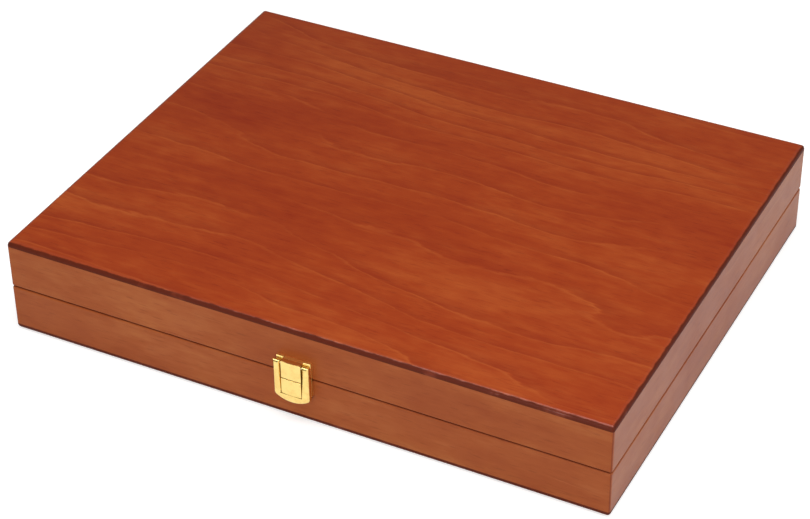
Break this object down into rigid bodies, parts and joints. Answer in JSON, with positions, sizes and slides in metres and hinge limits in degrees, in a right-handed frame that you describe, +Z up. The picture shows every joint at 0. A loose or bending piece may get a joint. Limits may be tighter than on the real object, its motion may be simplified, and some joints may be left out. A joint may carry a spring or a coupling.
{
  "type": "chess case",
  "caption": "Shallow hinged wooden case for a chess set: mitred rails between thin panels, brass flap latch, butt hinges and fitted foam beds.",
  "frame": {"origin": "centre of the underside of the base panel, where the case rests", "axes": "+X to the case's right as seen from the latch side, +Y towards the hinged back, +Z up"},
  "size_m": [0.37, 0.3033, 0.0603],
  "materials": {
    "panel_veneer": "satin lacquer, red-brown stain",
    "rail_wood": "satin lacquer, brown stain",
    "latch_brass": "polished brass plate",
    "hinge_brass": "polished brass plate",
    "brass_fixing": "bright brass",
    "steel_pin": "drawn steel wire",
    "bed_flock": "flocked foam, dark green",
    "pad_cloth": "baize over foam, dark green"
  },
  "bodies": {
    "base": {"base_panel": "panel_veneer", "base_front_rail": "rail_wood", "base_back_rail": "rail_wood", "base_left_rail": "rail_wood", "base_right_rail": "rail_wood", "left_hinge_base_leaf": "hinge_brass", "right_hinge_base_leaf": "hinge_brass", "left_hinge_pin": "steel_pin", "right_hinge_pin": "steel_pin", "base_hinge_screws": "brass_fixing", "latch_base_plate": "latch_brass", "base_latch_brads": "brass_fixing", "foam_floor": "bed_flock", "left_pawn_beds": "bed_flock", "right_pawn_beds": "bed_flock", "left_knight_rook_beds": "bed_flock", "right_knight_rook_beds": "bed_flock", "left_king_queen_beds": "bed_flock", "right_king_queen_beds": "bed_flock"},
    "lid": {"lid_panel": "panel_veneer", "lid_front_rail": "rail_wood", "lid_back_rail": "rail_wood", "lid_left_rail": "rail_wood", "lid_right_rail": "rail_wood", "left_hinge_lid_leaf": "hinge_brass", "right_hinge_lid_leaf": "hinge_brass", "lid_hinge_screws": "brass_fixing", "latch_lid_plate": "latch_brass", "lid_latch_brads": "brass_fixing", "latch_pin": "steel_pin", "lid_pad": "pad_cloth"},
    "latch_flap": {"latch_flap": "latch_brass"}
  },
  "joints": [
    {"name": "lid_hinge", "type": "hinge", "parent": "base", "child": "lid", "pos_m": [0, 0.1489, 0.02975], "axis": [-1, 0, 0], "range_deg": [0, 180]},
    {"name": "latch_flap_hinge", "type": "hinge", "parent": "lid", "child": "latch_flap", "pos_m": [0, -0.15065, 0.0391], "axis": [-1, 0, 0], "range_deg": [0, 180]}
  ]
}
